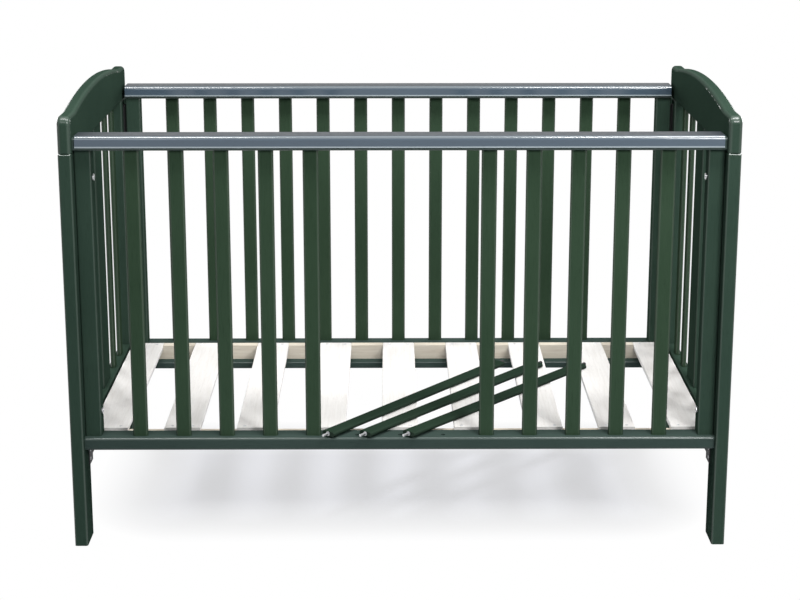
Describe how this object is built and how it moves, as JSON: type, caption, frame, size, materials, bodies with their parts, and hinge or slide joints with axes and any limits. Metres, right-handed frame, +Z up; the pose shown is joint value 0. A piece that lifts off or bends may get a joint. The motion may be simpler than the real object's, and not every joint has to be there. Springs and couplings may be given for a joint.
{
  "type": "baby cot",
  "caption": "Painted wooden baby cot with arched slatted ends, a drop side with teething caps, a slatted base and removable front bars laid on the base.",
  "frame": {"origin": "on the floor, under the middle of the cot", "axes": "+X along the cot to the right as seen from its fixed front side, +Y away from that side, +Z up"},
  "size_m": [1.25, 0.66, 0.8614],
  "materials": {
    "painted_frame": "satin dark green paint",
    "painted_slats": "satin dark green paint",
    "teething_cap": "clear grey, glossy",
    "whitewashed_slats": "thin white wash",
    "raw_wood": "bare, sanded",
    "beech_dowels": "bare",
    "zinc_steel": "bright zinc",
    "black_steel": "black",
    "dark_plastic": "matt black"
  },
  "bodies": {
    "cot_frame": {"left_front_leg": "painted_frame", "right_front_leg": "painted_frame", "left_back_leg": "painted_frame", "right_back_leg": "painted_frame", "left_arched_rail": "painted_frame", "right_arched_rail": "painted_frame", "left_end_bottom_rail": "painted_frame", "right_end_bottom_rail": "painted_frame", "left_end_board": "painted_frame", "right_end_board": "painted_frame", "left_end_slats": "painted_slats", "right_end_slats": "painted_slats", "frame_dowels": "beech_dowels", "foot_glides": "dark_plastic", "front_top_rail": "painted_frame", "front_bottom_rail": "painted_frame", "front_left_stile": "painted_frame", "front_right_stile": "painted_frame", "front_slats": "painted_slats", "front_teething_cap": "teething_cap", "side_bolts": "zinc_steel", "side_inserts": "zinc_steel", "guide_tracks": "black_steel", "fitting_screws": "zinc_steel", "back_stretcher": "painted_frame", "stretcher_bolts": "zinc_steel", "stretcher_nuts": "zinc_steel", "base_brackets": "black_steel"},
    "drop_side": {"back_top_rail": "painted_frame", "back_bottom_rail": "painted_frame", "back_left_stile": "painted_frame", "back_right_stile": "painted_frame", "back_slats": "painted_slats", "back_dowels": "beech_dowels", "back_teething_cap": "teething_cap", "drop_side_runners": "dark_plastic", "catch_bushes": "dark_plastic"},
    "left_catch": {"left_catch_bolt": "zinc_steel", "left_catch_spring": "zinc_steel"},
    "right_catch": {"right_catch_bolt": "zinc_steel", "right_catch_spring": "zinc_steel"},
    "base": {"base_front_bearer": "raw_wood", "base_back_bearer": "raw_wood", "base_slats": "whitewashed_slats", "base_screws": "zinc_steel"},
    "left_loose_bar": {"left_bar": "painted_slats", "left_bar_peg": "dark_plastic", "left_bar_sleeve": "zinc_steel", "left_bar_spring": "zinc_steel"},
    "left_pin": {"left_bar_pin": "zinc_steel"},
    "middle_loose_bar": {"middle_bar": "painted_slats", "middle_bar_peg": "dark_plastic", "middle_bar_sleeve": "zinc_steel", "middle_bar_spring": "zinc_steel"},
    "middle_pin": {"middle_bar_pin": "zinc_steel"},
    "right_loose_bar": {"right_bar": "painted_slats", "right_bar_peg": "dark_plastic", "right_bar_sleeve": "zinc_steel", "right_bar_spring": "zinc_steel"},
    "right_pin": {"right_bar_pin": "zinc_steel"}
  },
  "joints": [
    {"name": "drop_side_slide", "type": "slide", "parent": "cot_frame", "child": "drop_side", "axis": [0, 0, 1], "range_m": [-0.17, 0]},
    {"name": "left_catch_slide", "type": "slide", "parent": "drop_side", "child": "left_catch", "axis": [-1, 0, 0], "range_m": [0, 0.014], "deforming": ["left_catch_spring"]},
    {"name": "right_catch_slide", "type": "slide", "parent": "drop_side", "child": "right_catch", "axis": [1, 0, 0], "range_m": [0, 0.014], "deforming": ["right_catch_spring"]},
    {"name": "base_lift", "type": "slide", "parent": "cot_frame", "child": "base", "axis": [0, 0, 1], "range_m": [0, 0.25]},
    {"name": "left_bar_lift", "type": "slide", "parent": "base", "child": "left_loose_bar", "axis": [0, 0, 1], "range_m": [0, 0.12]},
    {"name": "middle_bar_lift", "type": "slide", "parent": "base", "child": "middle_loose_bar", "axis": [0, 0, 1], "range_m": [0, 0.12]},
    {"name": "right_bar_lift", "type": "slide", "parent": "base", "child": "right_loose_bar", "axis": [0, 0, 1], "range_m": [0, 0.12]},
    {"name": "left_pin_slide", "type": "slide", "parent": "left_loose_bar", "child": "left_pin", "axis": [0.6374, 0.7705, 0], "range_m": [0, 0.0142], "stiffness_N_per_m": 400, "springref_m": -0.005, "deforming": ["left_bar_spring"]},
    {"name": "middle_pin_slide", "type": "slide", "parent": "middle_loose_bar", "child": "middle_pin", "axis": [0.6561, 0.7547, 0], "range_m": [0, 0.0142], "stiffness_N_per_m": 400, "springref_m": -0.005, "deforming": ["middle_bar_spring"]},
    {"name": "right_pin_slide", "type": "slide", "parent": "right_loose_bar", "child": "right_pin", "axis": [0.6743, 0.7385, 0], "range_m": [0, 0.0142], "stiffness_N_per_m": 400, "springref_m": -0.005, "deforming": ["right_bar_spring"]}
  ]
}
